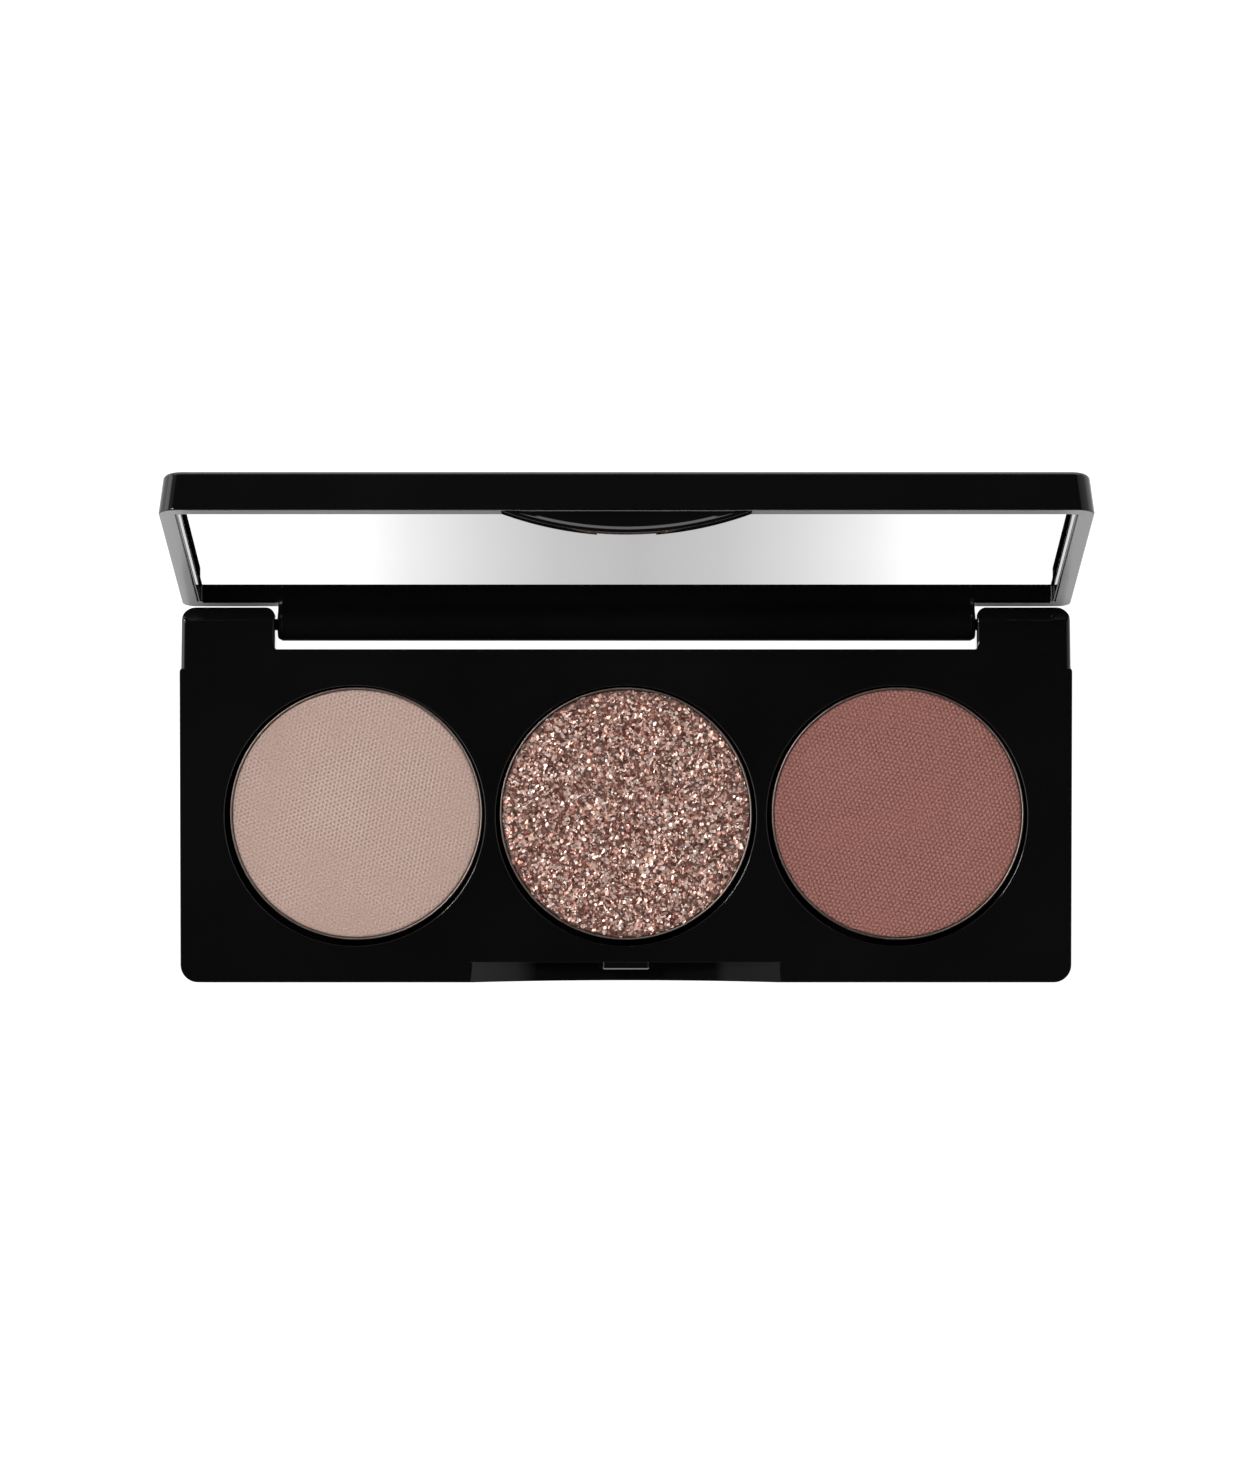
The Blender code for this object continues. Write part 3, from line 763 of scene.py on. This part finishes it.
def mirror(paint):
    """The mirror glass, which fills the lid. Returns it, for the reflector."""
    low = PARTING + MIRROR_DROP
    high = low + MIRROR_THICK
    side, front = LID_HALF - SIDE_RIM - MIRROR_GAP, LID_FRONT + RIM + MIRROR_GAP
    corners = lid_corners(side, front, SKIRT_INNER - 0.08, 0.4, 0.2)
    levels = [(low, 0.1), (low + 0.1, 0.0), (high - 0.1, 0.0), (high, 0.1)]
    glass = loft("mirror_glass", [(outline(corners, inset, 8), z) for z, inset in levels], upright)
    dress(glass, paint)
    open_lid(glass)
    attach(glass, "lid")
    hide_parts("mirror")
    return glass


# ---------------------------------------------------------------- materials


class Nodes:
    """Short calls for building a node tree."""

    def __init__(self, owner, shader="Principled BSDF"):
        owner.use_nodes = True
        self.owner = owner
        self.tree = owner.node_tree
        self.shader = self.tree.nodes[shader]

    def add(self, kind, **settings):
        node = self.tree.nodes.new(kind)
        for key, value in settings.items():
            setattr(node, key, value)
        return node

    def link(self, source, target):
        self.tree.links.new(source, target)

    def value(self, socket, value):
        self.shader.inputs[socket].default_value = value

    def position(self, scale=(1.0, 1.0, 1.0)):
        """Object coordinates in millimetres."""
        where = self.add("ShaderNodeTexCoord")
        grow = self.add("ShaderNodeMapping")
        grow.inputs["Scale"].default_value = [1000.0 * s for s in scale]
        self.link(where.outputs["Object"], grow.inputs["Vector"])
        return grow.outputs["Vector"]

    def noise(self, vector, scale, detail=2.0, rough=0.5):
        node = self.add("ShaderNodeTexNoise")
        node.inputs["Scale"].default_value = scale
        node.inputs["Detail"].default_value = detail
        node.inputs["Roughness"].default_value = rough
        self.link(vector, node.inputs["Vector"])
        return node.outputs["Fac"]

    def math(self, operation, a, b=0.0, clamp=False):
        node = self.add("ShaderNodeMath", operation=operation, use_clamp=clamp)
        for socket, item in zip(node.inputs, (a, b)):
            if isinstance(item, (int, float)):
                socket.default_value = item
            else:
                self.link(item, socket)
        return node.outputs[0]

    def span(self, value, low, high, to_low=0.0, to_high=1.0, smooth=False):
        node = self.add("ShaderNodeMapRange")
        if smooth:
            node.interpolation_type = "SMOOTHSTEP"
        node.inputs["From Min"].default_value = low
        node.inputs["From Max"].default_value = high
        node.inputs["To Min"].default_value = to_low
        node.inputs["To Max"].default_value = to_high
        self.link(value, node.inputs["Value"])
        return node.outputs["Result"]

    def ramp(self, value, stops):
        node = self.add("ShaderNodeValToRGB")
        band = node.color_ramp
        while len(band.elements) < len(stops):
            band.elements.new(0.5)
        for element, (place, colour) in zip(band.elements, stops):
            element.position = place
            element.color = (*colour, 1.0)
        self.link(value, node.inputs["Fac"])
        return node.outputs["Color"]

    def blend(self, kind, first, second):
        """Two colours put together by a blend type, in full."""
        node = self.add("ShaderNodeMix", data_type="RGBA", blend_type=kind)
        node.inputs["Factor"].default_value = 1.0
        self.link(first, node.inputs[MIX_FIRST])
        self.link(second, node.inputs[MIX_SECOND])
        return node.outputs[MIX_RESULT]

    def bump(self, height, distance):
        node = self.add("ShaderNodeBump")
        node.inputs["Distance"].default_value = distance
        node.inputs["Strength"].default_value = 1.0
        self.link(height, node.inputs["Height"])
        return node.outputs["Normal"]


def grey(level):
    return (level, level, level)


def gloss_black(name):
    """Polished moulded plastic: near black, faintly uneven in gloss, with softened edges."""
    n = Nodes(bpy.data.materials.new(name))
    where = n.position()
    tone = n.noise(where, 0.06, 3.0)
    n.link(n.ramp(tone, [(0.3, grey(0.0030)), (0.7, grey(0.0042))]), n.shader.inputs["Base Color"])
    n.link(n.span(n.noise(where, 0.5, 4.0), 0.3, 0.7, 0.03, 0.06), n.shader.inputs["Roughness"])
    n.value("IOR", PLASTIC_IOR)
    edge = n.add("ShaderNodeBevel", samples=4)
    edge.inputs["Radius"].default_value = EDGE_SOFTNESS * MM
    n.link(edge.outputs["Normal"], n.shader.inputs["Normal"])
    return n.owner


def satin_black(name):
    """The lid's rim: the same plastic with a fine satin face that shines when it is seen edge on."""
    n = Nodes(bpy.data.materials.new(name))
    where = n.position()
    speck = n.noise(where, 4.0, 3.0)
    n.link(n.ramp(speck, [(0.3, grey(0.0035)), (0.7, grey(0.005))]), n.shader.inputs["Base Color"])
    n.link(n.span(speck, 0.3, 0.7, 0.2, 0.26), n.shader.inputs["Roughness"])
    n.value("Specular IOR Level", 0.1)
    n.value("Sheen Weight", 0.85)
    n.value("Sheen Roughness", 0.4)
    return n.owner


def pressed_powder(name, colours, headings, pitch, depth, weave_shade, speckle):
    """Matte powder with the woven imprint of the press cloth: three sets of ridges, 60 degrees apart, with
    painted shade that darkens the colour in the imprint's hollows.
    """
    n = Nodes(bpy.data.materials.new(name))
    where = n.position()
    total = None
    for heading in headings:
        dot = n.add("ShaderNodeVectorMath", operation="DOT_PRODUCT")
        step = 2.0 * math.pi / pitch
        dot.inputs[1].default_value = (step * math.cos(heading), step * math.sin(heading), 0.0)
        n.link(where, dot.inputs[0])
        ridge = n.math("COSINE", dot.outputs["Value"])
        total = ridge if total is None else n.math("ADD", total, ridge)
    weave = n.math("MULTIPLY", total, 1.0 / 3.0)
    patches = n.span(n.noise(where, 0.09, 2.0), 0.38, 0.6, 0.15, 1.0)
    weave = n.math("MULTIPLY", weave, patches)
    grain = n.noise(where, 6.0, 4.0, 0.7)
    height = n.math("ADD", n.math("MULTIPLY", weave, 0.5), n.math("MULTIPLY", grain, 0.5))
    n.link(n.bump(height, depth * MM), n.shader.inputs["Normal"])
    # Painted shade: the colour follows the weave's relief, lighter on its ridges and darker in its hollows;
    # the grain adds speckle and the cloud adds random tone.
    tone = n.math("ADD", n.math("MULTIPLY", weave, weave_shade), n.span(grain, 0.3, 0.7, -speckle, speckle))
    cloud = n.span(n.noise(where, 0.09, 2.0), 0.3, 0.7, -0.18, 0.18)
    tone = n.math("ADD", n.math("ADD", tone, cloud), 0.5, clamp=True)
    n.link(n.ramp(tone, colours), n.shader.inputs["Base Color"])
    n.value("Roughness", 0.9)
    n.value("Specular IOR Level", 0.15)
    n.value("Sheen Weight", 0.15)
    return n.owner


def glitter_flake(name):
    """Foil-like flakes, each with its own tint from deep rose brown to pale pink gold."""
    n = Nodes(bpy.data.materials.new(name))
    own = n.add("ShaderNodeAttribute", attribute_name="shade")
    tint = n.ramp(own.outputs["Fac"], FLAKE_TINTS)
    where = n.position()
    fleck = n.span(n.noise(where, 5.0, 2.0), 0.3, 0.7, 0.75, 1.15)
    n.link(n.blend("MULTIPLY", tint, fleck), n.shader.inputs["Base Color"])
    n.value("Metallic", FLAKE_METAL)
    n.link(n.span(own.outputs["Fac"], 0.0, 1.0, 0.28, 0.45), n.shader.inputs["Roughness"])
    n.link(n.bump(n.noise(where, 4.0, 2.0), 0.02 * MM), n.shader.inputs["Normal"])
    return n.owner


def glitter_base(name):
    """The rough rose-brown mass between the flakes."""
    n = Nodes(bpy.data.materials.new(name))
    where = n.position()
    grain = n.noise(where, 4.0, 3.0, 0.7)
    tones = [(0.35, (0.05, 0.022, 0.018)), (0.65, (0.3, 0.16, 0.13))]
    n.link(n.ramp(grain, tones), n.shader.inputs["Base Color"])
    n.value("Roughness", 0.5)
    n.value("Metallic", 0.4)
    n.link(n.bump(grain, 0.15 * MM), n.shader.inputs["Normal"])
    return n.owner


def mirror_silver(name):
    """Silvered glass with a faint unevenness in its tint and polish."""
    n = Nodes(bpy.data.materials.new(name))
    where = n.position()
    tints = [(0.3, (0.925, 0.935, 0.93)), (0.7, (0.935, 0.94, 0.93))]
    n.link(n.ramp(n.noise(where, 0.08, 2.0), tints), n.shader.inputs["Base Color"])
    n.value("Metallic", 1.0)
    n.link(n.span(n.noise(where, 0.3, 2.0), 0.3, 0.7, 0.002, 0.005), n.shader.inputs["Roughness"])
    return n.owner


def worn_metal(name, colour, rough, scale=(1.0, 1.0, 1.0)):
    """Bare metal with fine streaks in tint and polish. scale stretches them."""
    n = Nodes(bpy.data.materials.new(name))
    where = n.position(scale)
    streak = n.noise(where, 3.0, 4.0, 0.6)
    dark = tuple(0.8 * c for c in colour)
    n.link(n.ramp(streak, [(0.3, dark), (0.7, colour)]), n.shader.inputs["Base Color"])
    n.value("Metallic", 1.0)
    n.link(n.span(streak, 0.3, 0.7, rough * 0.8, rough * 1.2), n.shader.inputs["Roughness"])
    n.link(n.bump(streak, 0.004 * MM), n.shader.inputs["Normal"])
    return n.owner


def plain_matt(name, low, high, rough, grain, depth):
    """A matt material, speckled between two colours, with a fine relief."""
    n = Nodes(bpy.data.materials.new(name))
    where = n.position()
    speck = n.noise(where, grain, 4.0, 0.65)
    n.link(n.ramp(speck, [(0.3, low), (0.7, high)]), n.shader.inputs["Base Color"])
    n.value("Roughness", rough)
    n.link(n.bump(speck, depth * MM), n.shader.inputs["Normal"])
    return n.owner


def paint_node(name, paint):
    """Gives one of the part's own solids its finish."""
    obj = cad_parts[name]
    obj.data.materials.clear()
    obj.data.materials.append(paint)


# ---------------------------------------------------------------- studio


def studio():
    """Surroundings that are dark in the middle, dim at the sides and bright at the far left, and lamps."""
    world = bpy.data.worlds.new("studio")
    bpy.context.scene.world = world
    n = Nodes(world, "Background")
    where = n.add("ShaderNodeTexCoord")
    apart = n.add("ShaderNodeSeparateXYZ")
    n.link(where.outputs["Generated"], apart.inputs[0])
    sideways = n.span(apart.outputs["X"], -1.0, 1.0)
    stops = [(0.5 + 0.5 * x, grey(level / SKY_STRENGTH)) for x, level in SKY_STOPS]
    walls = n.ramp(sideways, stops)
    glow = HORIZON_GLOW / SKY_STRENGTH
    horizon = n.span(apart.outputs["Z"], HORIZON_LOW, HORIZON_HIGH, glow, 0.0, smooth=True)
    n.link(n.blend("LIGHTEN", walls, horizon), n.shader.inputs["Color"])
    n.value("Strength", SKY_STRENGTH)
    middle = Vector((0.0, 0.0, 0.0))
    for name, place, size, radiance in LAMPS:
        area_light(name, Vector(place), middle, size, radiance)
    fill = area_light("fill", Vector(FILL_AT), middle, FILL_SIZE, FILL_RADIANCE)
    fill.visible_glossy = False


def area_light(name, place, target, size, radiance):
    """A soft lamp of the given radiance, hidden from the camera. size is (width, height) in metres."""
    data = bpy.data.lights.new(name, "AREA")
    data.shape = "RECTANGLE"
    data.size, data.size_y = size
    data.energy = radiance * math.pi * size[0] * size[1]
    lamp = bpy.data.objects.new(name, data)
    lamp.location = place
    lamp.visible_camera = False
    lamp.rotation_euler = (target - place).to_track_quat("-Z", "Y").to_euler()
    bpy.context.scene.collection.objects.link(lamp)
    return lamp


def mirror_card(glass, start, end, radiance):
    """A reflector close over the hinge that shows in the mirror only, grey in the middle and white outwards.

    start and end are (y, z) of its two long edges in millimetres. It faces the mirror.
    """
    low, high = Vector((0.0, *start)) * MM, Vector((0.0, *end)) * MM
    along = high - low
    facing = Vector((0.0, along.z, -along.y))
    middle = (low + high) / 2.0
    card = area_light("mirror_card", middle, middle + facing, (CARD_WIDTH * MM, along.length), radiance)
    card.data.spread = math.radians(CARD_SPREAD_DEG)
    only = bpy.data.collections.new("mirror_only")
    only.objects.link(glass)
    card.light_linking.receiver_collection = only
    n = Nodes(card.data, "Emission")
    where = n.add("ShaderNodeNewGeometry")
    apart = n.add("ShaderNodeSeparateXYZ")
    n.link(where.outputs["Position"], apart.inputs[0])
    across = n.math("ABSOLUTE", n.math("SUBTRACT", apart.outputs["X"], CARD_MIDDLE * MM))
    stops = [(place, grey(level)) for place, level in CARD_LEVELS]
    n.link(n.ramp(n.math("DIVIDE", across, CARD_HALF * MM), stops), n.shader.inputs["Color"])


def studio_sheet(name, corners, colour, glow):
    """A matt sheet that belongs to the studio. corners are in metres."""
    mesh = bpy.data.meshes.new(name)
    mesh.from_pydata(corners, [], [(0, 1, 2, 3)])
    n = Nodes(bpy.data.materials.new(name + "_paint"))
    n.value("Base Color", (*colour, 1.0))
    n.value("Roughness", 1.0)
    n.value("Specular IOR Level", 0.0)
    n.value("Emission Color", (1.0, 1.0, 1.0, 1.0))
    n.value("Emission Strength", glow)
    mesh.materials.append(n.owner)
    sheet = bpy.data.objects.new(name, mesh)
    bpy.context.scene.collection.objects.link(sheet)
    return sheet


def floor():
    """The pale table, a hair under the base."""
    ends = ((-1, -1), (1, -1), (1, 1), (-1, 1))
    corners = [(FLOOR_REACH * x, FLOOR_REACH * y, FLOOR_LEVEL) for x, y in ends]
    studio_sheet("floor", corners, grey(0.3), FLOOR_GLOW)


def hinge_flag(start, end):
    """A black card close behind the reflector. It keeps the bright hinge gap out of the mirror.

    start and end are (y, z) of its two long edges in millimetres.
    """
    edges = ((-NOTCH_HALF, start), (NOTCH_HALF, start), (NOTCH_HALF, end), (-NOTCH_HALF, end))
    corners = [(x * MM, y * MM, z * MM) for x, (y, z) in edges]
    flag = studio_sheet("hinge_flag", corners, grey(0.0), 0.0)
    flag.visible_camera = False
    flag.visible_diffuse = False
    flag.visible_transmission = False
    flag.visible_shadow = False


def camera():
    """Looks straight down."""
    data = bpy.data.cameras.new("camera")
    data.lens = CAMERA_LENS
    data.sensor_width = CAMERA_SENSOR
    data.clip_start = 0.01
    data.clip_end = 20.0
    eye = bpy.data.objects.new("camera", data)
    eye.location = Vector(CAMERA_AT) * MM
    eye.rotation_euler = (0.0, 0.0, 0.0)
    bpy.context.scene.collection.objects.link(eye)
    bpy.context.scene.camera = eye


# ---------------------------------------------------------------- build

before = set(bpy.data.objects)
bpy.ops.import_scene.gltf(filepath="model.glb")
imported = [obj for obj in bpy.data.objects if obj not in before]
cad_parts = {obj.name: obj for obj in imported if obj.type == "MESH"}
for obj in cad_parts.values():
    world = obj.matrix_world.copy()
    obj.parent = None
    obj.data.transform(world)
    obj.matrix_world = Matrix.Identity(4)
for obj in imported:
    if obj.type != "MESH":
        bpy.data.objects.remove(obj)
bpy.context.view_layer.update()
bpy.context.scene.view_settings.view_transform = "Standard"

shell_paint = gloss_black("gloss_black_plastic")
lid_paint = gloss_black("gloss_black_lid")
tin_paint = worn_metal("tinned_steel", (0.36, 0.29, 0.26), 0.45)
pin_paint = worn_metal("pin_steel", (0.62, 0.62, 0.63), 0.2, PIN_GRAIN)
beige = pressed_powder(
    "powder_matte_beige",
    [(0.0, (0.38, 0.25, 0.21)), (0.5, (0.525, 0.368, 0.315)), (1.0, (0.65, 0.48, 0.42))],
    [math.radians(a) for a in (-70.3, -10.7, 49.3)],
    pitch=0.3825,
    depth=0.14,
    weave_shade=0.55,
    speckle=0.6,
)
mauve = pressed_powder(
    "powder_matte_mauve",
    [(0.0, (0.20, 0.074, 0.06)), (0.5, (0.34, 0.143, 0.118)), (1.0, (0.46, 0.215, 0.18))],
    [math.radians(a) for a in (-41.5, 78.5, 18.5)],
    pitch=0.3865,
    depth=0.18,
    weave_shade=1.0,
    speckle=1.0,
)
base_tray(shell_paint)
bottom_cover(shell_paint)
for side, well_x in (("left", -WELL_X), ("centre", 0.0), ("right", WELL_X)):
    pan(side, well_x + PAN_SHIFT[side], tin_paint)
powder("left", -WELL_X + PAN_SHIFT["left"], beige)
powder("right", WELL_X + PAN_SHIFT["right"], mauve)
glitter_bed(PAN_SHIFT["centre"], POWDER_TOP - BED_DROP, glitter_base("glitter_bed"))
glitter_flakes(PAN_SHIFT["centre"], POWDER_TOP - BED_DROP, glitter_flake("glitter_flake"))
lid_shell(lid_paint, satin_black("satin_black_rim"))
glass = mirror(mirror_silver("mirror_silver"))
for side in ("left", "right"):
    paint_node("hinge_pin_" + side, pin_paint)
glue_paint = plain_matt("set_adhesive", (0.55, 0.5, 0.36), (0.72, 0.68, 0.52), 0.4, 1.0, 0.01)
for side in ("left", "centre", "right"):
    paint_node("pan_glue_" + side, glue_paint)
paint_node("mirror_tape", plain_matt("foam_tape", grey(0.6), grey(0.75), 0.85, 3.0, 0.02))
paint_node("bottom_label", plain_matt("label_paper", grey(0.7), grey(0.8), 0.6, 1.5, 0.004))

studio()
for start, end in FLAG_EDGES:
    hinge_flag(start, end)
for start, end, radiance in CARDS:
    mirror_card(glass, start, end, radiance)
floor()
camera()
